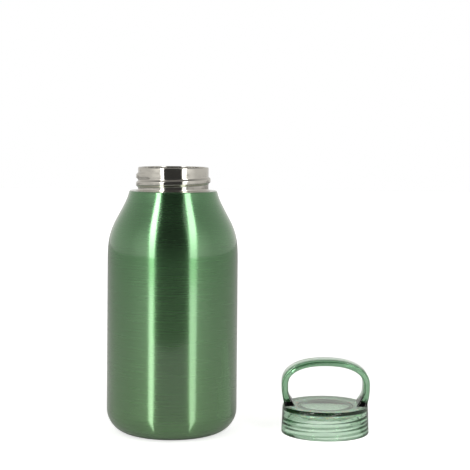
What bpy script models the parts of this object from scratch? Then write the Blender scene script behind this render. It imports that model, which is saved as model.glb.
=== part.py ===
"""A double-walled steel vacuum flask and its clear screw lid, which stands beside it.

The flask's axis is Z, and its base stands on Z = 0 with the origin at its centre. The lid stands open side
down on the same surface, to the +X side, and its loop handle lies across X. Every piece is a solid of its
own, and pieces that touch on the real flask keep GAP between them. Lengths are in metres.
"""

import math

import bpy
from mathutils import Vector

MM = 0.001
GAP = 0.3 * MM
SEGMENTS = 32
SMALL_SEGMENTS = 16
ARC_STEP = math.radians(17)
ARC_CHORD = 4.4 * MM

# The flask's outer wall
BODY_RADIUS = 39.0 * MM
WALL = 0.5 * MM
FOOT_RADIUS = 14.0 * MM
BASE_SEAM_Z = 18.0 * MM
SHOULDER_LOW = (BODY_RADIUS, 120.1 * MM, 37.3 * MM)
SHOULDER_HIGH = (28.3 * MM, 136.8 * MM, 46.0 * MM)
LEDGE_RADIUS = 26.25 * MM
LEDGE_Z = 144.5 * MM
LEDGE_EDGE = 0.9 * MM

# The base, from the outside in
COVER_RADIUS = 17.0 * MM
COVER_THICKNESS = 0.6 * MM
DIMPLE_RADIUS = 3.6 * MM
DIMPLE_DEPTH = 1.3 * MM
EVACUATION_RADIUS = 1.0 * MM

# The threaded mouth
FLASK_HEIGHT = 158.5 * MM
NECK_RADIUS = 21.1 * MM
NECK_WALL = 0.7 * MM
NECK_FLARE_RADIUS = 22.5 * MM
MOUTH_RADIUS = 19.3 * MM
SPIGOT_Z = 142.0 * MM
THREAD_PITCH = 4.8 * MM
THREAD_HEIGHT = 1.15 * MM
THREAD_WIDTH = 4.6 * MM
THREAD_FLANK = 1.5 * MM
THREAD_START_Z = 145.95 * MM
THREAD_TURNS = 1.65
THREAD_RUN_OUT = math.radians(40)

# The inner wall
LINER_RADIUS = 36.3 * MM
LINER_WALL = 0.45 * MM
LINER_FLOOR_Z = 6.0 * MM
LINER_SEAM_Z = 18.0 * MM
LINER_FOOT_RADIUS = 10.0 * MM
LINER_NECK_RADIUS = 20.08 * MM

# The foil and the getter in the vacuum space
FOIL_THICKNESS = 0.15 * MM
FOIL_LOW_Z = 20.0 * MM
FOIL_HIGH_Z = 104.0 * MM
GETTER_X = 11.0 * MM
GETTER_Z = 2.2 * MM
GETTER_RADIUS = 5.0 * MM
GETTER_HEIGHT = 1.8 * MM
GETTER_WALL = 0.4 * MM

# The lid, measured up from the surface that it stands on
LID_PLACE = (92.3 * MM, -0.8 * MM)
LID_RADIUS = 25.6 * MM
LID_FOOT_RADIUS = 26.25 * MM
LID_HEIGHT = 16.7 * MM
LID_EDGE = 1.2 * MM
LID_BORE_RADIUS = 22.8 * MM
LID_UNDERSIDE_Z = 14.1 * MM
LID_THREAD_HEIGHT = 1.1 * MM
LID_THREAD_START = math.radians(180)
LID_THREAD_START_Z = 2.2 * MM
LID_THREAD_TURNS = 1.9
PLUG_RADIUS = 16.6 * MM
PLUG_BORE_RADIUS = 15.0 * MM
PLUG_LOW_Z = 9.6 * MM
GASKET_RADIUS = 21.4 * MM
GASKET_THICKNESS = 1.8 * MM

# The loop handle
LOOP_HALF_WIDTH = 26.3 * MM
LOOP_BASE_HALF_WIDTH = 25.4 * MM
LOOP_SPRING_Z = 29.0 * MM
LOOP_TOP_Z = 44.2 * MM
LOOP_ROUNDNESS = 2.3
LOOP_THICKNESS = 3.7 * MM
LOOP_DEPTH = 13.0 * MM
LOOP_CORNER = 1.0 * MM
LOOP_FLARE = 3.0 * MM
LOOP_FLARE_HEIGHT = 7.0 * MM
LOOP_ROOT_Z = 15.6 * MM


def clear_scene():
    for thing in list(bpy.data.objects):
        bpy.data.objects.remove(thing, do_unlink=True)


def material(name, colour, roughness, metallic=0.0, transmission=0.0):
    """A Principled material; colour is linear RGB."""
    made = bpy.data.materials.new(name)
    made.use_nodes = True
    shader = made.node_tree.nodes["Principled BSDF"]
    shader.inputs["Base Color"].default_value = (*colour, 1.0)
    shader.inputs["Roughness"].default_value = roughness
    shader.inputs["Metallic"].default_value = metallic
    shader.inputs["Transmission Weight"].default_value = transmission
    made.diffuse_color = (*colour, 1.0)
    return made


def add_object(name, points, faces, finish, place=(0.0, 0.0, 0.0)):
    mesh = bpy.data.meshes.new(name)
    mesh.from_pydata(points, [], faces)
    mesh.validate()
    mesh.shade_smooth()
    mesh.set_sharp_from_angle(angle=math.radians(35))
    mesh.materials.append(finish)
    made = bpy.data.objects.new(name, mesh)
    made.location = place
    bpy.context.collection.objects.link(made)
    return made


def rounded(corners):
    """A line through corners given as (r, z) or (r, z, radius), with an arc at each corner that has one."""
    line = []
    for i, (r, z, *radius) in enumerate(corners):
        here = Vector((r, z))
        if not radius:
            line.append(here)
            continue
        back = (Vector(corners[i - 1][:2]) - here).normalized()
        ahead = (Vector(corners[i + 1][:2]) - here).normalized()
        half = back.angle(ahead) / 2
        centre = here + (back + ahead).normalized() * radius[0] / math.sin(half)
        first = here + back * radius[0] / math.tan(half) - centre
        last = here + ahead * radius[0] / math.tan(half) - centre
        sweep = first.angle_signed(last)
        steps = max(2, math.ceil(abs(sweep) / ARC_STEP), math.ceil(abs(sweep) * radius[0] / ARC_CHORD))
        start = math.atan2(first.y, first.x)
        for step in range(steps + 1):
            angle = start - sweep * step / steps
            line.append(centre + Vector((math.cos(angle), math.sin(angle))) * radius[0])
    return line


def offset(line, distance):
    """The line moved sideways: to the left of its direction for a positive distance."""
    moved = []
    for i, here in enumerate(line):
        before = (here - line[i - 1]).normalized() if i else None
        after = (line[i + 1] - here).normalized() if i + 1 < len(line) else before
        before = before or after
        normal = Vector((-(before + after).y, (before + after).x)).normalized()
        stretch = normal.dot(Vector((-after.y, after.x)))
        moved.append(here + normal * distance / stretch)
    return moved


def wall(line, thickness):
    """The closed outline of a sheet-metal wall: an outer line and the same line moved inwards."""
    return line + offset(line, thickness)[::-1]


def turned(name, outline, finish, place=(0.0, 0.0, 0.0), ridge=None, segments=SEGMENTS):
    """A solid of revolution. The outline runs up its outer side and down its inner side, in (r, z).

    A point at r = 0 becomes a pole. ridge(angle, r, z) gives how far a point is moved outwards.
    """
    points, rings = [], []
    for r, z in outline:
        if r == 0:
            rings.append([len(points)] * segments)
            points.append((0.0, 0.0, z))
            continue
        ring = []
        for s in range(segments):
            angle = math.tau * s / segments
            reach = r + (ridge(angle, r, z) if ridge else 0.0)
            ring.append(len(points))
            points.append((reach * math.cos(angle), reach * math.sin(angle), z))
        rings.append(ring)
    faces = []
    for low, high in zip(rings, rings[1:] + rings[:1]):
        for s in range(segments):
            t = (s + 1) % segments
            corners = list(dict.fromkeys((low[s], low[t], high[t], high[s])))
            if len(corners) > 2:
                faces.append(corners)
    return add_object(name, points, faces, finish, place)


def helix_height(angle, z, start_z, turns, height, width):
    """The height of a right-hand thread's ridge at a point, running out to nothing at both ends."""
    best = 0.0
    for turn in range(math.ceil(turns) + 1):
        along = angle + math.tau * turn
        if along > math.tau * turns:
            continue
        across = abs(z - start_z - THREAD_PITCH * along / math.tau)
        if across >= width / 2:
            continue
        run_out = min(1.0, along / THREAD_RUN_OUT, (math.tau * turns - along) / THREAD_RUN_OUT)
        flank = min(1.0, (width / 2 - across) / THREAD_FLANK)
        best = max(best, height * run_out * flank * flank * (3 - 2 * flank))
    return best


def levels(low, high, step):
    """Evenly spaced heights from low to high, both included."""
    count = math.ceil((high - low) / step)
    return [low + (high - low) * i / count for i in range(count + 1)]


def make_outer_shell(finish):
    """Body and shoulder: one tube, spun in at the top to a narrow ledge round the neck."""
    outer = rounded(
        [
            (BODY_RADIUS, BASE_SEAM_Z + GAP),
            SHOULDER_LOW,
            SHOULDER_HIGH,
            (LEDGE_RADIUS, LEDGE_Z, LEDGE_EDGE),
            (NECK_RADIUS + GAP, LEDGE_Z),
        ]
    )
    turned("outer_shell", wall(outer, WALL), finish)


def make_outer_base(finish):
    """Pressed cup with a recess for the cover, and in it a dimple with the evacuation hole."""
    recess_z = COVER_THICKNESS + GAP
    outer = rounded(
        [
            (EVACUATION_RADIUS, recess_z + DIMPLE_DEPTH),
            (DIMPLE_RADIUS, recess_z + DIMPLE_DEPTH),
            (DIMPLE_RADIUS, recess_z),
            (COVER_RADIUS + GAP, recess_z),
            (COVER_RADIUS + GAP, 0.0),
            (BODY_RADIUS, 0.0, FOOT_RADIUS),
            (BODY_RADIUS, BASE_SEAM_Z),
        ]
    )
    turned("outer_base", wall(outer, WALL), finish)


def make_base_cover(finish):
    top, edge = COVER_THICKNESS, 0.15 * MM
    disc = [(0, 0), (COVER_RADIUS - edge, 0), (COVER_RADIUS, edge), (COVER_RADIUS, top), (0, top)]
    turned("base_cover", disc, finish)


def make_vacuum_seal(finish):
    """A bead of solder glass, melted into the dimple over the evacuation hole."""
    low = COVER_THICKNESS + GAP
    high = low + DIMPLE_DEPTH - GAP
    radius = DIMPLE_RADIUS - GAP
    bulge = [(0, low), (radius * 0.6, low + 0.1 * MM), (radius, low + 0.45 * MM), (radius, high), (0, high)]
    turned("vacuum_seal", bulge, finish)


def make_threaded_neck(finish):
    """Polished mouth: its thread is rolled in, its lip turns inwards, and its foot flares on the ledge."""
    inner_radius = NECK_RADIUS - NECK_WALL
    plain_top = FLASK_HEIGHT - 0.8 * MM
    outline = [(NECK_RADIUS, SPIGOT_Z), (NECK_RADIUS, LEDGE_Z + GAP), (NECK_FLARE_RADIUS, LEDGE_Z + GAP)]
    outline += [(NECK_FLARE_RADIUS - 0.9 * MM, LEDGE_Z + GAP + 0.5 * MM)]
    outline += [(NECK_RADIUS, z) for z in levels(LEDGE_Z + GAP + 1.0 * MM, plain_top, 1.0 * MM)]
    lip = [(NECK_RADIUS, plain_top), (NECK_RADIUS, FLASK_HEIGHT, 0.6 * MM), (MOUTH_RADIUS, FLASK_HEIGHT)]
    outline += rounded(lip)[1:]
    outline += [(MOUTH_RADIUS, FLASK_HEIGHT - NECK_WALL), (inner_radius, FLASK_HEIGHT - NECK_WALL)]
    outline += [(inner_radius, SPIGOT_Z)]

    def rolled_thread(angle, r, z):
        if r < NECK_RADIUS or z > plain_top:
            return 0.0
        flare = r - NECK_RADIUS
        ridge = helix_height(angle, z, THREAD_START_Z, THREAD_TURNS, THREAD_HEIGHT, THREAD_WIDTH)
        return max(0.0, ridge - flare) if z > LEDGE_Z + GAP else 0.0

    turned("threaded_neck", outline, finish, ridge=rolled_thread)


def make_inner_liner(finish):
    """The inner wall, from its seam over its own shoulder up to the lip."""
    outer = rounded(
        [
            (LINER_RADIUS, LINER_SEAM_Z + GAP),
            (LINER_RADIUS, 117.0 * MM, 34.0 * MM),
            (25.6 * MM, 137.5 * MM, 6.0 * MM),
            (LINER_NECK_RADIUS, 139.6 * MM, 3.0 * MM),
            (LINER_NECK_RADIUS, FLASK_HEIGHT - NECK_WALL - GAP),
        ]
    )
    turned("inner_liner", wall(outer, LINER_WALL), finish)


def make_liner_base(finish):
    outer = rounded(
        [(0, LINER_FLOOR_Z), (LINER_RADIUS, LINER_FLOOR_Z, LINER_FOOT_RADIUS), (LINER_RADIUS, LINER_SEAM_Z)]
    )
    turned("liner_base", wall(outer, LINER_WALL), finish)


def make_reflective_foil(finish):
    """Copper foil wound once round the liner's straight wall."""
    inner = LINER_RADIUS + GAP
    outer = inner + FOIL_THICKNESS
    sleeve = [(outer, FOIL_LOW_Z), (outer, FOIL_HIGH_Z), (inner, FOIL_HIGH_Z), (inner, FOIL_LOW_Z)]
    turned("reflective_foil", sleeve, finish)


def make_getter(holder_finish, pellet_finish):
    """A small open pan on the base's inner face, and the pellet that lies in it."""
    place = (GETTER_X, 0.0, GETTER_Z)
    inner = GETTER_RADIUS - GETTER_WALL
    pan = [(0, 0), (GETTER_RADIUS, 0), (GETTER_RADIUS, GETTER_HEIGHT), (inner, GETTER_HEIGHT)]
    pan += [(inner, GETTER_WALL), (0, GETTER_WALL)]
    turned("getter_holder", pan, holder_finish, place, segments=SMALL_SEGMENTS)
    low, high, radius = GETTER_WALL + GAP, GETTER_HEIGHT - 0.1 * MM, inner - GAP
    pellet = [(0, low), (radius, low), (radius, high), (0, high)]
    turned("getter_pellet", pellet, pellet_finish, place, segments=SMALL_SEGMENTS)


def add_loop(name, finish, place):
    """The handle: a flat band swept over an arch, with flared feet that follow the lid's round rim."""
    legs = levels(LOOP_ROOT_Z, LOOP_SPRING_Z, 1.7 * MM)
    leg_rise = LOOP_SPRING_Z - LOOP_ROOT_Z
    side = []
    for z in legs[:-1]:
        share = (z - LOOP_ROOT_Z) / leg_rise
        lean = math.sin(share * math.pi / 2)
        side.append((LOOP_BASE_HALF_WIDTH + (LOOP_HALF_WIDTH - LOOP_BASE_HALF_WIDTH) * lean, z))
    arch = []
    for step in range(25):
        angle = math.pi * step / 24
        across = abs(math.cos(angle)) ** (2 / LOOP_ROUNDNESS) * math.copysign(1, math.cos(angle))
        up = math.sin(angle) ** (2 / LOOP_ROUNDNESS)
        arch.append((LOOP_HALF_WIDTH * across, LOOP_SPRING_Z + (LOOP_TOP_Z - LOOP_SPRING_Z) * up))
    outer = [Vector(p) for p in side + arch + [(-x, z) for x, z in side[::-1]]]
    inner = offset(outer, LOOP_THICKNESS)
    points, sections = [], []
    for out, into in zip(outer, inner):
        near_foot = max(0.0, 1 - max(0.0, out.y - LID_HEIGHT) / LOOP_FLARE_HEIGHT) ** 2
        inward = (into - out).normalized()
        depth = LOOP_DEPTH / 2 + LOOP_FLARE * near_foot * 0.4
        thickness = (into - out).length + LOOP_FLARE * near_foot
        section = []
        for along, y in (
            (0, -depth + LOOP_CORNER),
            (0, 0),
            (0, depth - LOOP_CORNER),
            (LOOP_CORNER, depth),
            (thickness - LOOP_CORNER, depth),
            (thickness, depth - LOOP_CORNER),
            (thickness, -depth + LOOP_CORNER),
            (thickness - LOOP_CORNER, -depth),
            (LOOP_CORNER, -depth),
        ):
            x, z = out + inward * along
            x -= math.copysign(y * y / (2 * LID_RADIUS) * min(1.0, 2 * near_foot), x)
            section.append(len(points))
            points.append((x, y, z))
        sections.append(section)
    count = len(sections[0])
    faces = [sections[0], sections[-1][::-1]]
    for this, following in zip(sections, sections[1:]):
        for s in range(count):
            t = (s + 1) % count
            faces.append([this[t], this[s], following[s], following[t]])
    return add_object(name, points, faces, finish, place)


def make_lid(cap_finish, gasket_finish):
    """Cap and loop are one moulding, joined by a union; the silicone ring sits round the plug."""
    place = (*LID_PLACE, 0.0)
    thread_top = LID_UNDERSIDE_Z - 1.9 * MM
    outline = [(0, LID_UNDERSIDE_Z), (PLUG_BORE_RADIUS, LID_UNDERSIDE_Z), (PLUG_BORE_RADIUS, PLUG_LOW_Z)]
    outline += [(PLUG_RADIUS, PLUG_LOW_Z), (PLUG_RADIUS, LID_UNDERSIDE_Z)]
    outline += [(LID_BORE_RADIUS - 1.0 * MM, LID_UNDERSIDE_Z), (LID_BORE_RADIUS, LID_UNDERSIDE_Z - 1.0 * MM)]
    outline += [(LID_BORE_RADIUS, z) for z in levels(1.0 * MM, thread_top, 1.0 * MM)[::-1]]
    outline += [(LID_BORE_RADIUS + 0.7 * MM, 0), (LID_FOOT_RADIUS - 0.4 * MM, 0)]
    outline += [(LID_FOOT_RADIUS, 0.5 * MM)]
    outline += rounded([(LID_FOOT_RADIUS, 0.5 * MM), (LID_RADIUS, LID_HEIGHT, LID_EDGE), (0, LID_HEIGHT)])[1:]

    def moulded_thread(angle, r, z):
        if r != LID_BORE_RADIUS or z > thread_top:
            return 0.0
        along = (angle - LID_THREAD_START) % math.tau
        return -helix_height(along, z, LID_THREAD_START_Z, LID_THREAD_TURNS, LID_THREAD_HEIGHT, THREAD_WIDTH)

    cap = turned("lid_cap", outline, cap_finish, place, moulded_thread)
    loop = add_loop("loop_tool", cap_finish, place)
    loop.hide_render = True
    loop.display_type = "WIRE"
    union = cap.modifiers.new("loop", "BOOLEAN")
    union.operation = "UNION"
    union.solver = "EXACT"
    union.object = loop
    low = LID_UNDERSIDE_Z - GAP - GASKET_THICKNESS
    inner, edge = PLUG_RADIUS + GAP, 0.4 * MM
    ring = [(inner, low), (GASKET_RADIUS - edge, low), (GASKET_RADIUS, low + edge)]
    ring += [(GASKET_RADIUS, low + GASKET_THICKNESS), (inner, low + GASKET_THICKNESS)]
    turned("lid_gasket", ring, gasket_finish, place)


clear_scene()
green_lacquer = material("green_lacquer", (0.05, 0.22, 0.08), 0.25, metallic=1.0)
polished_steel = material("polished_steel", (0.62, 0.60, 0.57), 0.08, metallic=1.0)
drawn_steel = material("drawn_steel", (0.50, 0.50, 0.49), 0.35, metallic=1.0)
make_outer_shell(green_lacquer)
make_outer_base(green_lacquer)
make_base_cover(material("stamped_cover_steel", (0.55, 0.55, 0.54), 0.3, metallic=1.0))
make_vacuum_seal(material("solder_glass", (0.05, 0.045, 0.04), 0.2))
make_threaded_neck(polished_steel)
make_inner_liner(drawn_steel)
make_liner_base(drawn_steel)
make_reflective_foil(material("copper_foil", (0.75, 0.33, 0.18), 0.2, metallic=1.0))
make_getter(drawn_steel, material("getter_metal", (0.12, 0.12, 0.13), 0.7, metallic=0.6))
make_lid(
    material("clear_green_plastic", (0.35, 0.58, 0.37), 0.05, transmission=1.0),
    material("white_silicone", (0.75, 0.76, 0.74), 0.45, transmission=0.3),
)
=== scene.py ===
"""The looks of a double-walled steel flask in clear green lacquer, with its clear screw lid beside it.

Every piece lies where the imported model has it: the flask's axis is Z, its base stands on Z = 0, and the lid
stands open side down to the +X side.
"""

import math

import bpy
import numpy as np
from mathutils import Matrix, Vector


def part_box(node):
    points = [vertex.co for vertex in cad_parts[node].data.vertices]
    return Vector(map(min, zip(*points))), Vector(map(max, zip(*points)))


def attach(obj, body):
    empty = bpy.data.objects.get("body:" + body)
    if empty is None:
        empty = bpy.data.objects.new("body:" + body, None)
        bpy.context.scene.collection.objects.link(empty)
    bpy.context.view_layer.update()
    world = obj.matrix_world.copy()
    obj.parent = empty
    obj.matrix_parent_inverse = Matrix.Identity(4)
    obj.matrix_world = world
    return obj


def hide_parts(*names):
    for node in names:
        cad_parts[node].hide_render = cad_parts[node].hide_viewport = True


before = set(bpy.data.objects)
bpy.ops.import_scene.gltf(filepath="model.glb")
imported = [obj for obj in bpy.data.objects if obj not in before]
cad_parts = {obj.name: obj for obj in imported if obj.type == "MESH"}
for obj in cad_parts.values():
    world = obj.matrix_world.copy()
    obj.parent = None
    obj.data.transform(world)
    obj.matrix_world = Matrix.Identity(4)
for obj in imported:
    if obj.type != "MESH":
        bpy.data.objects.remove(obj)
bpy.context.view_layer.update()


# ==== Outer shell ====
# The body and shoulder are one steel tube, spun in at the top to a narrow ledge round the neck. It is
# brushed round and round, then sprayed with clear green lacquer, and the brushing shines through it.

MM = 0.001
AROUND = 256
FLASK_AXIS = (0.0, 0.0)
BODY_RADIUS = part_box("outer_shell")[1].x
LEDGE_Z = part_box("outer_shell")[1].z
SEAM_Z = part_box("outer_base")[1].z
WALL = 0.5 * MM


def rounded(corners, fineness=3.0):
    """A line through (r, z) or (r, z, radius) corners, with an arc of so many degrees a step at a radius."""
    line = []
    for i, (r, z, *radius) in enumerate(corners):
        here = Vector((r, z))
        if not radius:
            line.append(here)
            continue
        back = (Vector(corners[i - 1][:2]) - here).normalized()
        ahead = (Vector(corners[(i + 1) % len(corners)][:2]) - here).normalized()
        half = back.angle(ahead) / 2
        centre = here + (back + ahead).normalized() * radius[0] / math.sin(half)
        first = here + back * radius[0] / math.tan(half) - centre
        last = here + ahead * radius[0] / math.tan(half) - centre
        sweep = first.angle_signed(last)
        steps = max(3, math.ceil(abs(math.degrees(sweep)) / fineness))
        start = math.atan2(first.y, first.x)
        for step in range(steps + 1):
            angle = start - sweep * step / steps
            line.append(centre + Vector((math.cos(angle), math.sin(angle))) * radius[0])
    return line


def offset(line, distance):
    """The line moved to its left by a distance."""
    moved = []
    for i, here in enumerate(line):
        before = (here - line[i - 1]).normalized() if i else None
        after = (line[i + 1] - here).normalized() if i + 1 < len(line) else before
        before = before or after
        normal = Vector((-(before + after).y, (before + after).x)).normalized()
        moved.append(here + normal * distance / normal.dot(Vector((-after.y, after.x))))
    return moved


def subdivided(line, step):
    """The line with points no further apart than a step."""
    fine = [line[0]]
    for start, end in zip(line, line[1:]):
        count = max(1, math.ceil((end - start).length / step))
        fine += [start.lerp(end, i / count) for i in range(1, count + 1)]
    return fine


def lathe(name, outline, axis=FLASK_AXIS, around=AROUND):
    """A solid turned from a closed outline in (r, z), up its outer side and down its inner side.

    Its UV map runs once round in U and along the outline, in metres, in V.
    """
    points, rings, run = [], [], [0.0]
    for i, (r, z) in enumerate(outline):
        if i:
            run.append(run[-1] + (Vector((r, z)) - Vector(outline[i - 1])).length)
        if r == 0:
            rings.append([len(points)] * around)
            points.append((axis[0], axis[1], z))
            continue
        rings.append(list(range(len(points), len(points) + around)))
        for s in range(around):
            angle = math.tau * s / around
            points.append((axis[0] + r * math.cos(angle), axis[1] + r * math.sin(angle), z))
    run.append(run[-1] + (Vector(outline[0]) - Vector(outline[-1])).length)
    faces, places = [], []
    for i, low in enumerate(rings):
        high = rings[(i + 1) % len(rings)]
        for s in range(around):
            t = (s + 1) % around
            corners = ((low[s], s, i), (low[t], s + 1, i), (high[t], s + 1, i + 1), (high[s], s, i + 1))
            corners = list({point: (point, u, v) for point, u, v in corners}.values())
            if len(corners) > 2:
                faces.append([point for point, _, _ in corners])
                places += [(u / around, run[v]) for _, u, v in corners]
    mesh = bpy.data.meshes.new(name)
    mesh.from_pydata(points, [], faces)
    mesh.uv_layers.new(name="turned").data.foreach_set("uv", np.array(places, np.float32).ravel())
    mesh.shade_smooth()
    mesh.set_sharp_from_angle(angle=math.radians(40))
    made = bpy.data.objects.new(name, mesh)
    bpy.context.collection.objects.link(made)
    return made


def colour(code):
    """An sRGB hex code as linear RGBA."""
    channels = [int(code[i : i + 2], 16) / 255 for i in (0, 2, 4)]
    return (*[c / 12.92 if c <= 0.04045 else ((c + 0.055) / 1.055) ** 2.4 for c in channels], 1.0)


def node(tree, kind, inputs=(), **settings):
    """Adds a node; inputs holds a value, or the socket that feeds it, for each socket's name or number."""
    made = tree.nodes.new(kind)
    for name, value in settings.items():
        setattr(made, name, value)
    for name, value in dict(inputs).items():
        if isinstance(value, bpy.types.NodeSocket):
            tree.links.new(value, made.inputs[name])
        else:
            made.inputs[name].default_value = value
    return made


def new_material(name):
    """A new material, with its tree and its Principled shader."""
    made = bpy.data.materials.new(name)
    made.use_nodes = True
    return made, made.node_tree, made.node_tree.nodes["Principled BSDF"]


def set_inputs(shader, **values):
    """Sets a shader's own sockets; underscores stand for spaces."""
    for name, value in values.items():
        shader.inputs[name.replace("_", " ")].default_value = value


def brush_lines(tree, width, reach):
    """Noise drawn out round Z into fine lines: width along Z, reach around, both in metres."""
    place = node(tree, "ShaderNodeTexCoord")
    stretch = node(
        tree, "ShaderNodeMapping", {0: place.outputs["Object"], "Scale": (1 / reach, 1 / reach, 1 / width)}
    )
    return node(
        tree,
        "ShaderNodeTexNoise",
        {"Vector": stretch.outputs[0], "Scale": 1.0, "Detail": 3.0, "Roughness": 0.6},
    )


def green_lacquer_over_brushed_steel():
    """Clear green lacquer: the steel's brushing draws each highlight out up and down, under a wet gloss.

    The green is drawn deeper on the shoulder than near the base. Real brushing is about 0.1 mm wide, and is
    drawn at 0.6 mm here, so that it shows. The coat bends light more than a real lacquer's 1.5, for stronger
    glints.
    """
    made, tree, shader = new_material("green_lacquer_over_brushed_steel")
    set_inputs(shader, Metallic=1.0, Anisotropic=0.97, Coat_Weight=1.0, Coat_Roughness=0.09, Coat_IOR=1.7)
    place = node(tree, "ShaderNodeTexCoord")
    height = node(tree, "ShaderNodeSeparateXYZ", {0: place.outputs["Object"]}).outputs["Z"]
    up = node(tree, "ShaderNodeMapRange", {"Value": height, "From Min": 0.01, "From Max": 0.14})
    depth = node(tree, "ShaderNodeValToRGB", {"Fac": up.outputs[0]})
    stops = depth.color_ramp.elements
    stops[0].position, stops[0].color = 0.0, colour("6a9363")
    stops[1].position, stops[1].color = 1.0, colour("5d9361")
    middle = stops.new(0.6)
    middle.color = colour("669465")
    lines = brush_lines(tree, width=0.6 * MM, reach=25 * MM)
    streak = node(
        tree,
        "ShaderNodeMapRange",
        {"Value": lines.outputs["Fac"], "From Min": 0.3, "From Max": 0.7, "To Min": 0.96, "To Max": 1.04},
    )
    tinted = node(
        tree,
        "ShaderNodeMix",
        {"Factor": 1.0, "A": depth.outputs["Color"], "B": streak.outputs[0]},
        data_type="RGBA",
        blend_type="MULTIPLY",
    )
    tree.links.new(tinted.outputs[2], shader.inputs["Base Color"])
    gloss = node(
        tree,
        "ShaderNodeMapRange",
        {"Value": lines.outputs["Fac"], "From Min": 0.3, "From Max": 0.7, "To Min": 0.263, "To Max": 0.277},
    )
    tree.links.new(gloss.outputs[0], shader.inputs["Roughness"])
    relief = node(
        tree, "ShaderNodeBump", {"Strength": 0.01, "Distance": 0.00002, "Height": lines.outputs["Fac"]}
    )
    tree.links.new(relief.outputs[0], shader.inputs["Normal"])
    grain = node(tree, "ShaderNodeTangent", direction_type="UV_MAP", uv_map="turned")
    tree.links.new(grain.outputs[0], shader.inputs["Tangent"])
    set_inputs(shader, Anisotropic_Rotation=0.25)
    return made


def eased(line, step, reach):
    """The line, resampled, with each change of its curve spread over a reach, as spun metal spreads it."""
    line = np.array(line)
    run = np.concatenate(([0.0], np.cumsum(np.linalg.norm(np.diff(line, axis=0), axis=1))))
    places = np.linspace(0.0, run[-1], math.ceil(run[-1] / step))
    line = np.stack([np.interp(places, run, line[:, axis]) for axis in (0, 1)], axis=1)
    last, count = len(line) - 1, round(reach / step)
    spans = [min(count, i, last - i) for i in range(last + 1)]
    return [Vector(line[i - span : i + span + 1].mean(axis=0)) for i, span in enumerate(spans)]


LACQUER = green_lacquer_over_brushed_steel()
SHOULDER_LOW = (BODY_RADIUS, 120.1 * MM, 37.3 * MM)
SHOULDER_HIGH = (28.3 * MM, 136.8 * MM, 46.0 * MM)
LEDGE_RADIUS = 26.25 * MM
LEDGE_EDGE = 0.9 * MM
LEDGE_BORE = 21.4 * MM
EASE_STEP = 1.0 * MM
EASE_REACH = 7.0 * MM
shell_line = rounded(
    [(BODY_RADIUS, SEAM_Z), SHOULDER_LOW, SHOULDER_HIGH, (LEDGE_RADIUS, LEDGE_Z)],
    fineness=1.0,
)
ledge_line = rounded(
    [shell_line[-2], (LEDGE_RADIUS, LEDGE_Z, LEDGE_EDGE), (LEDGE_BORE, LEDGE_Z)],
    fineness=9,
)[1:]
shoulder_line = [point for point in shell_line if point.y < LEDGE_Z - 2 * LEDGE_EDGE]
shell_line = eased(shoulder_line, EASE_STEP, EASE_REACH) + ledge_line
outer_shell = lathe("green_shell", shell_line + offset(shell_line, WALL)[::-1])
outer_shell.data.materials.append(LACQUER)
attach(outer_shell, "flask")
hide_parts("outer_shell")


# ==== Outer base ====
# A pressed steel cup, welded to the shell; the weld is ground away and lacquered over, so no line shows.
# Its middle is pushed in for the cover, and has a dimple with the hole that the air is drawn out of.

COVER_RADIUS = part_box("base_cover")[1].x
RECESS_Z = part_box("base_cover")[1].z + 0.3 * MM
DIMPLE_RADIUS = 3.6 * MM
DIMPLE_Z = RECESS_Z + 1.3 * MM
base_line = rounded(
    [
        (1.0 * MM, DIMPLE_Z),
        (DIMPLE_RADIUS, DIMPLE_Z, 0.35 * MM),
        (DIMPLE_RADIUS, RECESS_Z, 0.3 * MM),
        (COVER_RADIUS + 0.3 * MM, RECESS_Z, 0.2 * MM),
        (COVER_RADIUS + 0.3 * MM, 0.0, 0.25 * MM),
        (BODY_RADIUS, 0.0, 14.0 * MM),
        (BODY_RADIUS, SEAM_Z),
    ]
)
outer_base = lathe("green_base", base_line + offset(base_line, WALL)[::-1])
outer_base.data.materials.append(LACQUER)
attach(outer_base, "flask")
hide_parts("outer_base")


# ==== Base cover ====
# A thin stamped steel disc, set flush in the base. It was blanked from rolled sheet, so its bare face has
# a straight grain and two shallow stamped rings.

def rolled_sheet_steel():
    """Bare rolled steel: a straight satin grain, about 0.05 mm wide in life and drawn at 0.4 mm here."""
    made, tree, shader = new_material("rolled_sheet_steel")
    set_inputs(shader, Base_Color=colour("a8a7a2"), Metallic=1.0)
    place = node(tree, "ShaderNodeTexCoord")
    stretch = node(tree, "ShaderNodeMapping", {0: place.outputs["Object"], "Scale": (40, 2500, 2500)})
    grain = node(tree, "ShaderNodeTexNoise", {"Vector": stretch.outputs[0], "Scale": 1.0, "Detail": 2.0})
    satin = node(tree, "ShaderNodeMapRange", {"Value": grain.outputs[0], "To Min": 0.28, "To Max": 0.46})
    tree.links.new(satin.outputs[0], shader.inputs["Roughness"])
    relief = node(tree, "ShaderNodeBump", {"Strength": 0.2, "Distance": 0.00002, "Height": grain.outputs[0]})
    tree.links.new(relief.outputs[0], shader.inputs["Normal"])
    return made


COVER_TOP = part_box("base_cover")[1].z
cover_line = [Vector((0, 0)), Vector((10.0 * MM, 0))]
for ring_radius in (11.0 * MM, 14.5 * MM):
    for lean in np.linspace(-1, 1, 9):
        rise = 0.12 * MM * math.cos(lean * math.pi / 2) ** 2
        cover_line.append(Vector((ring_radius + lean * 0.6 * MM, rise)))
cover_line += rounded(
    [(15.5 * MM, 0), (COVER_RADIUS, 0, 0.15 * MM), (COVER_RADIUS, COVER_TOP), (0, COVER_TOP)]
)
base_cover = lathe("stamped_cover", cover_line)
base_cover.data.materials.append(rolled_sheet_steel())
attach(base_cover, "flask")
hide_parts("base_cover")


# ==== Vacuum seal ====
# A bead of dark solder glass. It is melted over the evacuation hole in the furnace, with the air already
# out, and sets with a smooth domed face.

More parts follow.
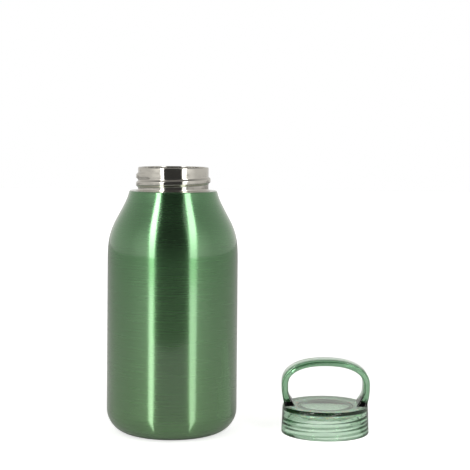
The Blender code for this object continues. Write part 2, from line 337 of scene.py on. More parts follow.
def fused_solder_glass():
    """Fused frit: near black and glossy, with small bubbles that dull it in places."""
    made, tree, shader = new_material("fused_solder_glass")
    set_inputs(shader, Base_Color=colour("231f1c"), IOR=1.7)
    place = node(tree, "ShaderNodeTexCoord")
    bubbles = node(tree, "ShaderNodeTexVoronoi", {"Vector": place.outputs["Object"], "Scale": 2500})
    dull = node(tree, "ShaderNodeMapRange", {"Value": bubbles.outputs[0], "To Min": 0.45, "To Max": 0.12})
    tree.links.new(dull.outputs[0], shader.inputs["Roughness"])
    return made


seal_low, seal_high = (corner.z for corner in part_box("vacuum_seal"))
seal_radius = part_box("vacuum_seal")[1].x
seal_line = rounded(
    [(0, seal_low), (seal_radius * 0.7, seal_low), (seal_radius, seal_high - 0.3 * MM, 0.2 * MM)]
    + [(seal_radius, seal_high), (0, seal_high)]
)
vacuum_seal = lathe("solder_bead", seal_line, around=64)
vacuum_seal.data.materials.append(fused_solder_glass())
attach(vacuum_seal, "flask")
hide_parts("vacuum_seal")


# ==== Getter and its holder ====
# A pressed pellet of gas-absorbing metal powder lies in a small open steel pan in the vacuum space, where
# it takes up the last gas after the flask is sealed.

def tumbled_steel():
    """Small pressed parts, tumbled to take off their burrs: plain satin steel with faint mottling."""
    made, tree, shader = new_material("tumbled_steel")
    set_inputs(shader, Base_Color=colour("9d9c98"), Metallic=1.0)
    place = node(tree, "ShaderNodeTexCoord")
    mottle = node(
        tree, "ShaderNodeTexNoise", {"Vector": place.outputs["Object"], "Scale": 900, "Detail": 2.0}
    )
    satin = node(tree, "ShaderNodeMapRange", {"Value": mottle.outputs[0], "To Min": 0.3, "To Max": 0.5})
    tree.links.new(satin.outputs[0], shader.inputs["Roughness"])
    return made


def pressed_metal_powder():
    """Pressed and sintered powder: dark, matt and finely pitted, with grains of about 0.2 mm."""
    made, tree, shader = new_material("pressed_metal_powder")
    set_inputs(shader, Base_Color=colour("55555a"), Metallic=0.7, Roughness=0.72)
    place = node(tree, "ShaderNodeTexCoord")
    grains = node(tree, "ShaderNodeTexVoronoi", {"Vector": place.outputs["Object"], "Scale": 5000})
    relief = node(tree, "ShaderNodeBump", {"Strength": 0.6, "Distance": 0.00006, "Height": grains.outputs[0]})
    tree.links.new(relief.outputs[0], shader.inputs["Normal"])
    return made


pan_low, pan_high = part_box("getter_holder")
pellet_low, pellet_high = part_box("getter_pellet")
getter_axis = tuple(((pan_low + pan_high) / 2).xy)
pan_radius = (pan_high.x - pan_low.x) / 2
pellet_radius = (pellet_high.x - pellet_low.x) / 2
PAN_WALL = 0.4 * MM
pan_line = rounded(
    [
        (0, pan_low.z),
        (pan_radius, pan_low.z, 0.5 * MM),
        (pan_radius, pan_high.z, 0.15 * MM),
        (pan_radius - PAN_WALL, pan_high.z, 0.15 * MM),
        (pan_radius - PAN_WALL, pan_low.z + PAN_WALL, 0.2 * MM),
        (0, pan_low.z + PAN_WALL),
    ],
    fineness=10,
)
getter_holder = lathe("getter_pan", pan_line, getter_axis, around=96)
getter_holder.data.materials.append(tumbled_steel())
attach(getter_holder, "flask")
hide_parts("getter_holder")
pellet_line = rounded(
    [
        (0, pellet_low.z),
        (pellet_radius, pellet_low.z, 0.12 * MM),
        (pellet_radius, pellet_high.z, 0.25 * MM),
        (0, pellet_high.z),
    ],
    fineness=10,
)
getter_pellet = lathe("getter_tablet", pellet_line, getter_axis, around=96)
getter_pellet.data.materials.append(pressed_metal_powder())
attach(getter_pellet, "flask")
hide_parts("getter_pellet")


# ==== Inner liner and its base ====
# The flask's inner wall: a drawn steel tube with a shoulder and neck of its own, closed by a welded cup.
# It is electropolished inside, which leaves faint drawing rings, and it meets the mouth at the lip.

def drawn_and_polished_steel():
    """Electropolished steel: bright and even, with soft rings from drawing about 1.5 mm apart."""
    made, tree, shader = new_material("drawn_and_polished_steel")
    set_inputs(shader, Base_Color=colour("b3b1ab"), Metallic=1.0)
    rings = brush_lines(tree, width=1.5 * MM, reach=80 * MM)
    satin = node(tree, "ShaderNodeMapRange", {"Value": rings.outputs["Fac"], "To Min": 0.2, "To Max": 0.36})
    tree.links.new(satin.outputs[0], shader.inputs["Roughness"])
    relief = node(
        tree, "ShaderNodeBump", {"Strength": 0.15, "Distance": 0.00005, "Height": rings.outputs["Fac"]}
    )
    tree.links.new(relief.outputs[0], shader.inputs["Normal"])
    return made


LINER_STEEL = drawn_and_polished_steel()
LINER_WALL = 0.45 * MM
LIP_WALL = 0.7 * MM
liner_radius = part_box("inner_liner")[1].x
liner_neck_radius = 20.08 * MM
liner_seam_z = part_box("liner_base")[1].z
liner_floor_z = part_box("liner_base")[0].z
liner_line = rounded(
    [
        (liner_radius, liner_seam_z),
        (liner_radius, 117.0 * MM, 34.0 * MM),
        (25.6 * MM, 137.5 * MM, 6.0 * MM),
        (liner_neck_radius, 139.6 * MM, 3.0 * MM),
        (liner_neck_radius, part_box("threaded_neck")[1].z - LIP_WALL - 0.02 * MM),
    ]
)
liner_line = subdivided(liner_line, 6 * MM)
inner_liner = lathe("steel_liner", liner_line + offset(liner_line, LINER_WALL)[::-1])
inner_liner.data.materials.append(LINER_STEEL)
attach(inner_liner, "flask")
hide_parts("inner_liner")
LINER_FOOT_RADIUS = 10.0 * MM
cup_line = rounded(
    [(0, liner_floor_z), (liner_radius, liner_floor_z, LINER_FOOT_RADIUS), (liner_radius, liner_seam_z)]
)
cup_line = subdivided(cup_line, 3 * MM)
liner_base = lathe("liner_cup", cup_line + offset(cup_line, LINER_WALL)[::-1])
liner_base.data.materials.append(LINER_STEEL)
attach(liner_base, "flask")
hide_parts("liner_base")


# ==== Reflective foil ====
# Copper foil wound once round the liner in the vacuum space. It throws radiant heat back. It is too thin
# to lie flat, so it has soft upright wrinkles.

def wrinkled_copper_foil():
    """Bright rolled copper foil, hardly tarnished."""
    made, tree, shader = new_material("wrinkled_copper_foil")
    set_inputs(shader, Metallic=1.0, Roughness=0.16)
    place = node(tree, "ShaderNodeTexCoord")
    tarnish = node(
        tree, "ShaderNodeTexNoise", {"Vector": place.outputs["Object"], "Scale": 60, "Detail": 4.0}
    )
    tone = node(tree, "ShaderNodeValToRGB", {"Fac": tarnish.outputs[0]})
    tone.color_ramp.elements[0].position, tone.color_ramp.elements[0].color = 0.35, colour("c98a6b")
    tone.color_ramp.elements[1].position, tone.color_ramp.elements[1].color = 0.7, colour("dea387")
    tree.links.new(tone.outputs["Color"], shader.inputs["Base Color"])
    return made


foil_low, foil_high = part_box("reflective_foil")
FOIL_THICKNESS = 0.05 * MM
WRINKLE = 0.04 * MM
foil_middle = foil_high.x - 0.075 * MM
foil_line = [Vector((foil_middle + FOIL_THICKNESS / 2, z)) for z in np.linspace(foil_low.z, foil_high.z, 61)]
foil_line += [Vector((r - FOIL_THICKNESS, z)) for r, z in foil_line[::-1]]
reflective_foil = lathe("copper_wrap", foil_line)
for vertex in reflective_foil.data.vertices:
    angle = math.atan2(vertex.co.y, vertex.co.x)
    twist = angle + 0.35 * math.sin(vertex.co.z / (18 * MM))
    wrinkle = math.sin(13 * twist) * math.sin(29 * twist + 4) * math.cos(vertex.co.z / (11 * MM) + 3 * twist)
    vertex.co.xy *= 1 + WRINKLE * wrinkle / foil_middle
reflective_foil.data.materials.append(wrinkled_copper_foil())
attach(reflective_foil, "flask")
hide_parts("reflective_foil")


# ==== Threaded neck ====
# The mouth is a bare steel tube. Its right-hand thread is rolled into the wall from inside, its lip turns
# in over the liner's edge, and its foot flares out onto the green ledge. It is mirror polished.

THREAD_PITCH = 4.8 * MM


def thread_tree():
    """Raises a helical ridge on a turned piece, where its attribute 'thread' is 1."""
    tree = bpy.data.node_groups.new("raise_thread", "GeometryNodeTree")
    tree.interface.new_socket("Geometry", in_out="INPUT", socket_type="NodeSocketGeometry")
    tree.interface.new_socket("Geometry", in_out="OUTPUT", socket_type="NodeSocketGeometry")
    ridge = ("Pitch", "Height", "Width", "Flank")
    course = ("Start", "Begin", "Turns", "Run out", "Centre X", "Centre Y")
    for name in ridge + course:
        tree.interface.new_socket(name, in_out="INPUT", socket_type="NodeSocketFloat")
    tree.interface.new_socket("Material", in_out="INPUT", socket_type="NodeSocketMaterial")
    given = node(tree, "NodeGroupInput").outputs

    def maths(operation, *values):
        return node(tree, "ShaderNodeMath", dict(enumerate(values)), operation=operation).outputs[0]

    place = node(tree, "GeometryNodeInputPosition")
    axes = node(tree, "ShaderNodeSeparateXYZ", {0: place.outputs[0]})
    x = maths("SUBTRACT", axes.outputs["X"], given["Centre X"])
    y = maths("SUBTRACT", axes.outputs["Y"], given["Centre Y"])
    share = maths("DIVIDE", maths("SUBTRACT", maths("ARCTAN2", y, x), given["Begin"]), math.tau)
    share = maths("FRACT", maths("ADD", share, 2.0))
    risen = maths("DIVIDE", maths("SUBTRACT", axes.outputs["Z"], given["Start"]), given["Pitch"])
    behind = maths("SUBTRACT", risen, share)
    turn = maths("ROUND", behind)
    across = maths("MULTIPLY", maths("ABSOLUTE", maths("SUBTRACT", behind, turn)), given["Pitch"])
    edge = maths("DIVIDE", given["Width"], 2.0)
    inset = maths("SUBTRACT", edge, across)
    bulge = node(tree, "ShaderNodeMapRange", {"Value": inset, "From Max": given["Flank"]})
    bulge.interpolation_type = "SMOOTHSTEP"
    along = maths("ADD", turn, share)
    ends = []
    for gone in (along, maths("SUBTRACT", given["Turns"], along)):
        fade = node(tree, "ShaderNodeMapRange", {"Value": gone, "From Max": given["Run out"]})
        fade.interpolation_type = "SMOOTHSTEP"
        ends.append(fade.outputs[0])
    raised = maths("MULTIPLY", maths("MULTIPLY", bulge.outputs[0], given["Height"]), maths("MULTIPLY", *ends))
    where = node(tree, "GeometryNodeInputNamedAttribute", {"Name": "thread"}, data_type="FLOAT")
    raised = maths("MULTIPLY", raised, where.outputs["Attribute"])
    outward = node(tree, "ShaderNodeCombineXYZ", {"X": x, "Y": y})
    outward = node(tree, "ShaderNodeVectorMath", {0: outward.outputs[0]}, operation="NORMALIZE")
    moved = node(tree, "ShaderNodeVectorMath", {0: outward.outputs[0], "Scale": raised}, operation="SCALE")
    placed = node(
        tree, "GeometryNodeSetPosition", {"Geometry": given["Geometry"], "Offset": moved.outputs[0]}
    )
    real = node(tree, "GeometryNodeRealizeInstances", {"Geometry": placed.outputs[0]})
    finish = node(
        tree, "GeometryNodeSetMaterial", {"Geometry": real.outputs[0], "Material": given["Material"]}
    )
    node(tree, "NodeGroupOutput", {0: finish.outputs[0]})
    return tree


def made_plain(piece):
    """Takes the shape that a piece's modifiers give it as its own mesh, and removes them."""
    graph = bpy.context.evaluated_depsgraph_get()
    mesh = bpy.data.meshes.new_from_object(
        piece.evaluated_get(graph), preserve_all_data_layers=True, depsgraph=graph
    )
    piece.modifiers.clear()
    piece.data = mesh
    return piece


def cut_thread(piece, rows, material, **sizes):
    """Raises a thread on the rows of a turned piece that rows(r, z) names."""
    band = piece.data.attributes.new("thread", "FLOAT", "POINT")
    middle = Vector((sizes["Centre_X"], sizes["Centre_Y"]))
    band.data.foreach_set("value", [rows((v.co.xy - middle).length, v.co.z) for v in piece.data.vertices])
    modifier = piece.modifiers.new("thread", "NODES")
    modifier.node_group = THREAD_TREE
    items = THREAD_TREE.interface.items_tree
    sockets = {item.name: item.identifier for item in items if item.in_out == "INPUT"}
    for name, value in sizes.items():
        modifier[sockets[name.replace("_", " ")]] = value
    modifier[sockets["Material"]] = material
    made_plain(piece)
    piece.data.attributes.remove(piece.data.attributes["thread"])
    piece.data.shade_smooth()
    piece.data.set_sharp_from_angle(angle=math.radians(40))


def mirror_polished_steel():
    """Buffed stainless: a near mirror with a warm cast, whose surface still waves a little from rolling."""
    made, tree, shader = new_material("mirror_polished_steel")
    set_inputs(shader, Base_Color=colour("d3d0c8"), Metallic=1.0)
    place = node(tree, "ShaderNodeTexCoord")
    wave = node(tree, "ShaderNodeTexNoise", {"Vector": place.outputs["Object"], "Scale": 180, "Detail": 1.0})
    gloss = node(tree, "ShaderNodeMapRange", {"Value": wave.outputs[0], "To Min": 0.05, "To Max": 0.12})
    tree.links.new(gloss.outputs[0], shader.inputs["Roughness"])
    relief = node(tree, "ShaderNodeBump", {"Strength": 0.25, "Distance": 0.0002, "Height": wave.outputs[0]})
    tree.links.new(relief.outputs[0], shader.inputs["Normal"])
    return made


THREAD_TREE = thread_tree()
MIRROR_STEEL = mirror_polished_steel()
NECK_RADIUS = 21.1 * MM
NECK_FLARE = 1.2 * MM
MOUTH_RADIUS = 19.3 * MM
neck_foot, lip_z = (corner.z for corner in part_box("threaded_neck"))
on_ledge = LEDGE_Z + 0.05 * MM
thread_low, thread_high = on_ledge + 0.2 * MM, lip_z - 1.2 * MM
neck_line = rounded(
    [
        (NECK_RADIUS - LIP_WALL, neck_foot),
        (NECK_RADIUS, neck_foot),
        (NECK_RADIUS, on_ledge),
        (NECK_RADIUS + NECK_FLARE, on_ledge),
        (NECK_RADIUS + NECK_FLARE, on_ledge + 0.3 * MM, 0.14 * MM),
        (NECK_RADIUS, on_ledge + 0.3 * MM, 0.8 * MM),
        (NECK_RADIUS, thread_high),
    ],
    fineness=9,
)
neck_line = neck_line[:-1] + subdivided(neck_line[-2:], 0.2 * MM)[1:]
neck_line += rounded(
    [
        (NECK_RADIUS, thread_high),
        (NECK_RADIUS, lip_z, 0.65 * MM),
        (MOUTH_RADIUS, lip_z, 0.3 * MM),
        (MOUTH_RADIUS, lip_z - LIP_WALL),
        (NECK_RADIUS - LIP_WALL, lip_z - LIP_WALL),
    ],
    fineness=9,
)[1:]
threaded_neck = lathe("threaded_mouth", neck_line)


def neck_rows(r, z):
    """1 on the neck's outer wall, between its foot and its lip."""
    return float(r > NECK_RADIUS - 0.01 * MM and thread_low < z < thread_high)


NECK_THREAD_HEIGHT = 1.15 * MM
NECK_THREAD_WIDTH = 4.6 * MM
NECK_THREAD_FLANK = 1.5 * MM
NECK_THREAD_START_Z = 145.95 * MM
NECK_THREAD_TURNS = 1.65
RUN_OUT_TURNS = 0.12
cut_thread(
    threaded_neck,
    neck_rows,
    MIRROR_STEEL,
    Pitch=THREAD_PITCH,
    Height=NECK_THREAD_HEIGHT,
    Width=NECK_THREAD_WIDTH,
    Flank=NECK_THREAD_FLANK,
    Start=NECK_THREAD_START_Z,
    Begin=0.0,
    Turns=NECK_THREAD_TURNS,
    Run_out=RUN_OUT_TURNS,
    Centre_X=0.0,
    Centre_Y=0.0,
)
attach(threaded_neck, "flask")
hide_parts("threaded_neck")


# ==== Lid cap ====
# Cap and loop handle are one thick moulding of clear green copolyester: a tapered skirt with a moulded
# thread inside, a flat top, a ring inside it that holds the gasket, and a flat band that arches over.

LID_AXIS = tuple(((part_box("lid_gasket")[0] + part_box("lid_gasket")[1]) / 2).xy)
LOOP_TOP_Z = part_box("lid_cap")[1].z
LID_RADIUS = 25.6 * MM
LID_FOOT_RADIUS = 26.25 * MM
LID_TOP_Z = 16.7 * MM
LID_BORE_RADIUS = 22.8 * MM
LID_UNDERSIDE_Z = 14.1 * MM
PLUG_RADIUS = 16.6 * MM
PLUG_BORE_RADIUS = 15.0 * MM
PLUG_LOW_Z = 9.6 * MM


def clear_green_copolyester():
    """Clear, glossy and tinted right through, so that it is pale where it is thin and deep green edge on.

    The tint is absorption over real millimetres, and its shadow is a plain pale green. As a studio trick, a
    ray mirrored from outside sees a painted reflection in its place: a flat glow of room tone, which keeps
    its dark image off the flask.
    """
    made, tree, shader = new_material("clear_green_copolyester")
    set_inputs(shader, Base_Color=colour("f4f6f3"), Roughness=0.015, IOR=1.56, Transmission_Weight=1.0)
    place = node(tree, "ShaderNodeTexCoord")
    flow = node(tree, "ShaderNodeTexNoise", {"Vector": place.outputs["Object"], "Scale": 120, "Detail": 1.0})
    relief = node(tree, "ShaderNodeBump", {"Strength": 0.05, "Distance": 0.0002, "Height": flow.outputs[0]})
    tree.links.new(relief.outputs[0], shader.inputs["Normal"])
    ray = node(tree, "ShaderNodeLightPath")
    through = node(tree, "ShaderNodeBsdfTransparent", {"Color": colour("b9d6bb")})
    lit = node(
        tree,
        "ShaderNodeMixShader",
        {0: ray.outputs["Is Shadow Ray"], 1: shader.outputs[0], 2: through.outputs[0]},
    )
    outside = node(
        tree, "ShaderNodeMath", {0: 0.5, 1: ray.outputs["Transmission Depth"]}, operation="GREATER_THAN"
    )
    mirrored = node(
        tree,
        "ShaderNodeMath",
        {0: ray.outputs["Is Reflection Ray"], 1: outside.outputs[0]},
        operation="MULTIPLY",
    )
    # Painted reflection: rays mirrored from outside see this flat glow of room tone instead of the lid.
    painted_room_reflection = node(tree, "ShaderNodeEmission", {"Color": colour("c9d0c6"), "Strength": 0.85})
    mixed = node(
        tree, "ShaderNodeMixShader", {0: mirrored.outputs[0], 1: lit.outputs[0], 2: painted_room_reflection.outputs[0]}
    )
    output = tree.nodes["Material Output"]
    tree.links.new(mixed.outputs[0], output.inputs["Surface"])
    tint = node(tree, "ShaderNodeVolumeAbsorption", {"Color": (0.11, 0.44, 0.18, 1.0), "Density": 140.0})
    tree.links.new(tint.outputs[0], output.inputs["Volume"])
    return made


def swept_band(name, material):
    """The loop: a flat band along an arch, whose legs flare where they stand on the lid."""
    half_width, foot_half_width = 26.3 * MM, 25.4 * MM
    spring_z, root_z = 29.0 * MM, 15.6 * MM
    roundness, thick, half_depth, corner = 2.3, 3.7 * MM, 6.5 * MM, 1.5 * MM
    flare, flare_height = 2.5 * MM, 9.0 * MM
    side = []
    for step in range(60):
        share = step / 60
        lean = math.sin(share * math.pi / 2)
        x = foot_half_width + (half_width - foot_half_width) * lean
        side.append((x, root_z + (spring_z - root_z) * share))
    arch = []
    for step in range(161):
        angle = math.pi * step / 160
        across = abs(math.cos(angle)) ** (2 / roundness) * math.copysign(1, math.cos(angle))
        rise = math.sin(angle) ** (2 / roundness)
        arch.append((half_width * across, spring_z + (LOOP_TOP_Z - spring_z) * rise))
    outer = [Vector(place) for place in side + arch + [(-x, z) for x, z in side[::-1]]]
    inner = offset(outer, thick)
    points, sections = [], []
    for out, into in zip(outer, inner):
        foot = max(0.0, 1 - max(0.0, out.y - LID_TOP_Z) / flare_height) ** 2
        inward = (into - out).normalized()
        deep, wide = half_depth + flare * foot * 0.4, thick + flare * foot
        section = []
        for quarter in range(4):
            side_of = (1, 1, -1, -1)[quarter]
            far = quarter in (1, 2)
            for turn in range(7):
                angle = math.radians(90 * quarter + 15 * turn)
                along = (wide - corner if far else corner) - corner * math.cos(angle)
                y = side_of * (deep - corner) + corner * math.sin(angle)
                x, z = out + inward * along
                x -= math.copysign(y * y / (2 * LID_RADIUS) * min(1.0, 2 * foot), x)
                section.append(len(points))
                points.append((x + LID_AXIS[0], y + LID_AXIS[1], z))
        sections.append(section)
    count = len(sections[0])
    faces = [sections[0], sections[-1][::-1]]
    for this, following in zip(sections, sections[1:]):
        faces += [[this[s], this[s - 1], following[s - 1], following[s]] for s in range(count)]
    mesh = bpy.data.meshes.new(name)
    mesh.from_pydata(points, [], faces)
    mesh.materials.append(material)
    mesh.shade_smooth()
    made = bpy.data.objects.new(name, mesh)
    bpy.context.collection.objects.link(made)
    return made


CLEAR_GREEN = clear_green_copolyester()
thread_top = LID_UNDERSIDE_Z - 1.9 * MM
cap_line = rounded(
    [
        (0, LID_UNDERSIDE_Z),
        (PLUG_BORE_RADIUS, LID_UNDERSIDE_Z, 0.4 * MM),
        (PLUG_BORE_RADIUS, PLUG_LOW_Z, 0.5 * MM),
        (PLUG_RADIUS, PLUG_LOW_Z, 0.5 * MM),
        (PLUG_RADIUS, LID_UNDERSIDE_Z, 0.2 * MM),
        (LID_BORE_RADIUS, LID_UNDERSIDE_Z, 1.0 * MM),
        (LID_BORE_RADIUS, thread_top),
    ],
    9,
)
cap_line += subdivided([cap_line[-1], Vector((LID_BORE_RADIUS, 1.0 * MM))], 0.2 * MM)[1:]
cap_line += rounded(
    [
        (LID_BORE_RADIUS, 1.0 * MM),
        (LID_BORE_RADIUS + 0.7 * MM, 0, 0.3 * MM),
        (LID_FOOT_RADIUS, 0, 0.5 * MM),
        (LID_RADIUS, LID_TOP_Z, 1.1 * MM),
        (0, LID_TOP_Z),
    ],
    9,
)[1:-1]
cap_line = cap_line[:-1] + subdivided([cap_line[-1], Vector((0, LID_TOP_Z))], 1.5 * MM)
lid_cap = lathe("clear_cap", cap_line, LID_AXIS)


def cap_rows(r, z):
    """1 on the wall of the cap's bore, below its top."""
    return float(abs(r - LID_BORE_RADIUS) < 0.01 * MM and 1.0 * MM < z < thread_top)


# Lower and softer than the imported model's 1.1 mm ridge, so that it bends what is seen through it less.
LID_THREAD_HEIGHT = 0.7 * MM
LID_THREAD_WIDTH = 4.4 * MM
LID_THREAD_FLANK = 1.7 * MM
LID_THREAD_START_Z = 2.2 * MM
LID_THREAD_TURNS = 1.9
cut_thread(
    lid_cap,
    cap_rows,
    CLEAR_GREEN,
    Pitch=THREAD_PITCH,
    Height=-LID_THREAD_HEIGHT,
    Width=LID_THREAD_WIDTH,
    Flank=LID_THREAD_FLANK,
    Start=LID_THREAD_START_Z,
    Begin=math.pi,
    Turns=LID_THREAD_TURNS,
    Run_out=RUN_OUT_TURNS,
    Centre_X=LID_AXIS[0],
    Centre_Y=LID_AXIS[1],
)
loop = swept_band("loop_band", CLEAR_GREEN)
join = lid_cap.modifiers.new("loop", "BOOLEAN")
join.operation, join.solver, join.object = "UNION", "EXACT", loop
made_plain(lid_cap)
bpy.data.objects.remove(loop)
lid_cap.data.shade_smooth()
lid_cap.data.set_sharp_from_angle(angle=math.radians(35))
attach(lid_cap, "lid")
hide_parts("lid_cap")


# ==== Lid gasket ====
# A ring of translucent white silicone, stretched round the plug ring. The flask's lip presses into it.

def translucent_silicone():
    """Moulded silicone: milky and soft looking, with a dusty satin face and no hard shine."""
    made, tree, shader = new_material("translucent_silicone")
    set_inputs(shader, Base_Color=colour("dde2df"), IOR=1.41, Subsurface_Weight=0.6, Subsurface_Scale=0.002)
    place = node(tree, "ShaderNodeTexCoord")
    dust = node(tree, "ShaderNodeTexNoise", {"Vector": place.outputs["Object"], "Scale": 1500, "Detail": 2.0})
    satin = node(tree, "ShaderNodeMapRange", {"Value": dust.outputs[0], "To Min": 0.4, "To Max": 0.6})
    tree.links.new(satin.outputs[0], shader.inputs["Roughness"])
    return made


gasket_low, gasket_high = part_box("lid_gasket")
gasket_radius = (gasket_high.x - gasket_low.x) / 2
gasket_bore = PLUG_RADIUS + 0.1 * MM
gasket_line = rounded(
    [
        (gasket_bore, gasket_low.z, 0.4 * MM),
        (gasket_radius, gasket_low.z, 0.6 * MM),
        (gasket_radius, gasket_high.z, 0.6 * MM),
        (gasket_bore, gasket_high.z, 0.4 * MM),
    ],
    12,
)
lid_gasket = lathe("silicone_ring", gasket_line, LID_AXIS)
lid_gasket.data.materials.append(translucent_silicone())
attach(lid_gasket, "lid_seal")
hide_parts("lid_gasket")


# ==== Studio ====
# A white table, a tall strip light on either side of the camera, bent along the arc that the body mirrors,
# and a black card behind the camera that the polished metal mirrors as a dark band. The room is white where
# it is seen straight on and grey where it is mirrored.

def stage_material(name, face, shine):
    """A plain surface for the studio: its colour, and how brightly the camera and the clear lid see it."""
    made, tree, shader = new_material(name)
    set_inputs(shader, Base_Color=face, Roughness=0.9, Emission_Color=(1, 1, 1, 1))
    if shine:
        ray = node(tree, "ShaderNodeLightPath")
        seen = node(
            tree,
            "ShaderNodeMath",
            {0: ray.outputs["Is Camera Ray"], 1: ray.outputs["Is Transmission Ray"]},
            operation="MAXIMUM",
        )
        place = node(tree, "ShaderNodeTexCoord")
        away = node(tree, "ShaderNodeVectorMath", {0: place.outputs["Object"]}, operation="LENGTH")
        far = node(
            tree,
            "ShaderNodeMapRange",
            {
                "Value": away.outputs["Value"],
                "From Min": 0.25,
                "From Max": 1.0,
                "To Min": shine,
                "To Max": 1.0,
            },
        )
        lit = node(tree, "ShaderNodeMath", {0: seen.outputs[0], 1: far.outputs[0]}, operation="MULTIPLY")
        tree.links.new(lit.outputs[0], shader.inputs["Emission Strength"])
    return made


def sheet(name, corners, material):
    """A flat studio piece, from its corners."""
    mesh = bpy.data.meshes.new(name)
    mesh.from_pydata(corners, [], [list(range(len(corners)))])
    mesh.materials.append(material)
    made = bpy.data.objects.new(name, mesh)
    bpy.context.collection.objects.link(made)
    return made


def seen_only_in_reflections(*sheets):
    """Hides the sheets from the camera, and keeps them from lighting or shading what is round them."""
    for one in sheets:
        one.visible_camera = False
        one.visible_diffuse = False
        one.visible_shadow = False


TABLE = 3.0
sheet(
    "table",
    [(-TABLE, -TABLE, 0), (TABLE, -TABLE, 0), (TABLE, TABLE, 0), (-TABLE, TABLE, 0)],
    stage_material("white_table", (0.62, 0.62, 0.615, 1.0), 0.7),
)
CARD_DISTANCE = 1.15
CARD_HEIGHT = 2.6
CARD_SPREAD = math.tan(math.radians(30))
CARD_HALF_WIDTH = CARD_DISTANCE * CARD_SPREAD
RUNNER_NEAR = 0.36
card = sheet(
    "black_card",
    [
        (-CARD_HALF_WIDTH, -CARD_DISTANCE, 0),
        (CARD_HALF_WIDTH, -CARD_DISTANCE, 0),
        (CARD_HALF_WIDTH, -CARD_DISTANCE, CARD_HEIGHT),
        (-CARD_HALF_WIDTH, -CARD_DISTANCE, CARD_HEIGHT),
    ],
    stage_material("black_card", (0.05, 0.05, 0.05, 1.0), 0.0),
)
runner = sheet(
    "black_runner",
    [
        (-RUNNER_NEAR * CARD_SPREAD, -RUNNER_NEAR, MM),
        (RUNNER_NEAR * CARD_SPREAD, -RUNNER_NEAR, MM),
        (CARD_HALF_WIDTH, -CARD_DISTANCE, MM),
        (-CARD_HALF_WIDTH, -CARD_DISTANCE, MM),
    ],
    card.data.materials[0],
)
seen_only_in_reflections(card, runner)
card.visible_transmission = False

CAMERA_PLACE = Vector((36.6 * MM, -794.2 * MM, 182.8 * MM))
STRIP_DISTANCE = 0.75
GLINT_HEIGHT = 80 * MM


def strip_lamp(name, power):
    """A softbox that glows brighter higher up, and three times brighter where clear plastic shows it."""
    made, tree, shader = new_material(name)
    set_inputs(shader, Base_Color=(0, 0, 0, 1), Emission_Color=(1.0, 1.0, 0.985, 1))
    place = node(tree, "ShaderNodeTexCoord")
    height = node(tree, "ShaderNodeSeparateXYZ", {0: place.outputs["Object"]}).outputs["Z"]
    glow = node(
        tree,
        "ShaderNodeMapRange",
        {"Value": height, "From Min": 0.1, "From Max": 0.8, "To Min": power, "To Max": 2.4 * power},
    )
    ray = node(tree, "ShaderNodeLightPath")
    clear = node(
        tree, "ShaderNodeMapRange", {"Value": ray.outputs["Is Transmission Ray"], "To Min": 1, "To Max": 3}
    )
    seen = node(tree, "ShaderNodeMath", {0: glow.outputs[0], 1: clear.outputs[0]}, operation="MULTIPLY")
    tree.links.new(seen.outputs[0], shader.inputs["Emission Strength"])
    return made


for side_turn, half_width, power in ((-15.4, 0.07, 3.5), (20.4, 0.085, 2.5)):
    turn = Matrix.Rotation(math.radians(side_turn), 3, "Z")
    glint = turn @ Vector((0, -BODY_RADIUS, GLINT_HEIGHT))
    arrives = (glint - CAMERA_PLACE).normalized()
    low_edge, high_edge = [], []
    for tilt in range(4, 38, 3):
        normal = turn @ Vector((0, -math.cos(math.radians(tilt)), math.sin(math.radians(tilt))))
        leaves = arrives.reflect(normal)
        across = Vector((leaves.y, -leaves.x, 0)).normalized() * half_width
        low_edge.append(glint + leaves * STRIP_DISTANCE - across)
        high_edge.append(glint + leaves * STRIP_DISTANCE + across)
    strip = sheet("strip", low_edge + high_edge[::-1], strip_lamp("strip_lamp", power))
    # Painted light: each lit_table is a glowing wedge on the table, seen only in reflections, for the patch
    # of table that the strip lights.
    feet = [Vector((corner.x, corner.y, MM)) for corner in (glint, low_edge[0], high_edge[0])]
    lit_table = sheet("lit_table", feet, strip_lamp("lit_table", 0.75 * power))
    seen_only_in_reflections(strip, lit_table)
    strip.visible_diffuse = True

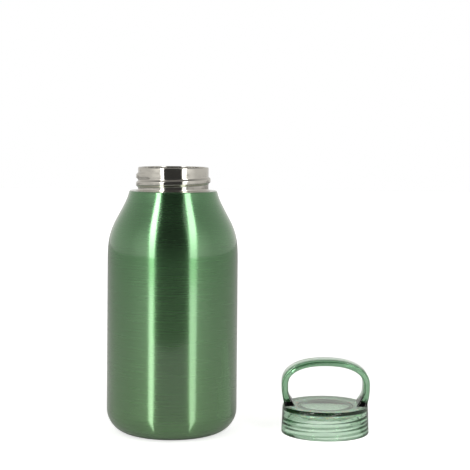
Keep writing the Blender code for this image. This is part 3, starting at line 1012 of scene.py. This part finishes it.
world = bpy.data.worlds.new("grey_room")
world.use_nodes = True
bpy.context.scene.world = world
room = world.node_tree
ray = node(room, "ShaderNodeLightPath")
direction = node(room, "ShaderNodeTexCoord")
rise = node(room, "ShaderNodeSeparateXYZ", {0: direction.outputs["Generated"]})
behind = node(
    room, "ShaderNodeMapRange", {"Value": rise.outputs["Y"], "From Min": 0.0, "From Max": 0.5}
)
backdrop = node(
    room,
    "ShaderNodeMath",
    {0: ray.outputs["Is Transmission Ray"], 1: behind.outputs[0]},
    operation="MULTIPLY",
)
direct = node(
    room, "ShaderNodeMath", {0: ray.outputs["Is Camera Ray"], 1: backdrop.outputs[0]}, operation="MAXIMUM"
)
upward = node(
    room,
    "ShaderNodeMapRange",
    {"Value": rise.outputs["Z"], "From Min": 0.1, "From Max": 0.8, "To Min": 0.7, "To Max": 0.42},
)
ceiling = node(
    room,
    "ShaderNodeMapRange",
    {"Value": rise.outputs["Z"], "From Min": 0.8, "From Max": 0.95, "To Min": 1.0, "To Max": 0.45},
)
lamp_side = node(
    room,
    "ShaderNodeMapRange",
    {"Value": rise.outputs["Y"], "From Min": -0.7, "From Max": -0.2, "To Min": 1.7, "To Max": 1.0},
)
tone = node(room, "ShaderNodeMath", {0: upward.outputs[0], 1: lamp_side.outputs[0]}, operation="MULTIPLY")
tone = node(room, "ShaderNodeMath", {0: tone.outputs[0], 1: ceiling.outputs[0]}, operation="MULTIPLY")
grey = node(room, "ShaderNodeBackground", {"Color": (1, 0.985, 0.955, 1), "Strength": tone.outputs[0]})
white = node(room, "ShaderNodeBackground", {"Color": (1, 1, 1, 1), "Strength": 1.0})
seen_room = node(room, "ShaderNodeMixShader", {0: direct.outputs[0], 1: grey.outputs[0], 2: white.outputs[0]})
room.links.new(seen_room.outputs[0], room.nodes["World Output"].inputs["Surface"])


# ==== Camera ====
# A 102 mm lens on a 36 mm sensor, a little above the flask's mouth. The framing is half a slight tilt down
# and half shift, and the camera leans half a degree.

SENSOR_WIDTH_MM = 36
LENS_MM = 101.72
SHIFT = 0.12
TILT_DOWN = math.radians(2.225)
LEAN = math.radians(-0.5)
camera = bpy.data.objects.new("camera", bpy.data.cameras.new("camera"))
camera.data.sensor_width = SENSOR_WIDTH_MM
camera.data.lens = LENS_MM
camera.data.shift_y = -SHIFT
camera.data.clip_start = 0.05
camera.location = CAMERA_PLACE
camera.rotation_euler = (math.radians(90) - TILT_DOWN, LEAN, 0)
bpy.context.collection.objects.link(camera)
bpy.context.scene.camera = camera
bpy.context.scene.view_settings.view_transform = "Standard"
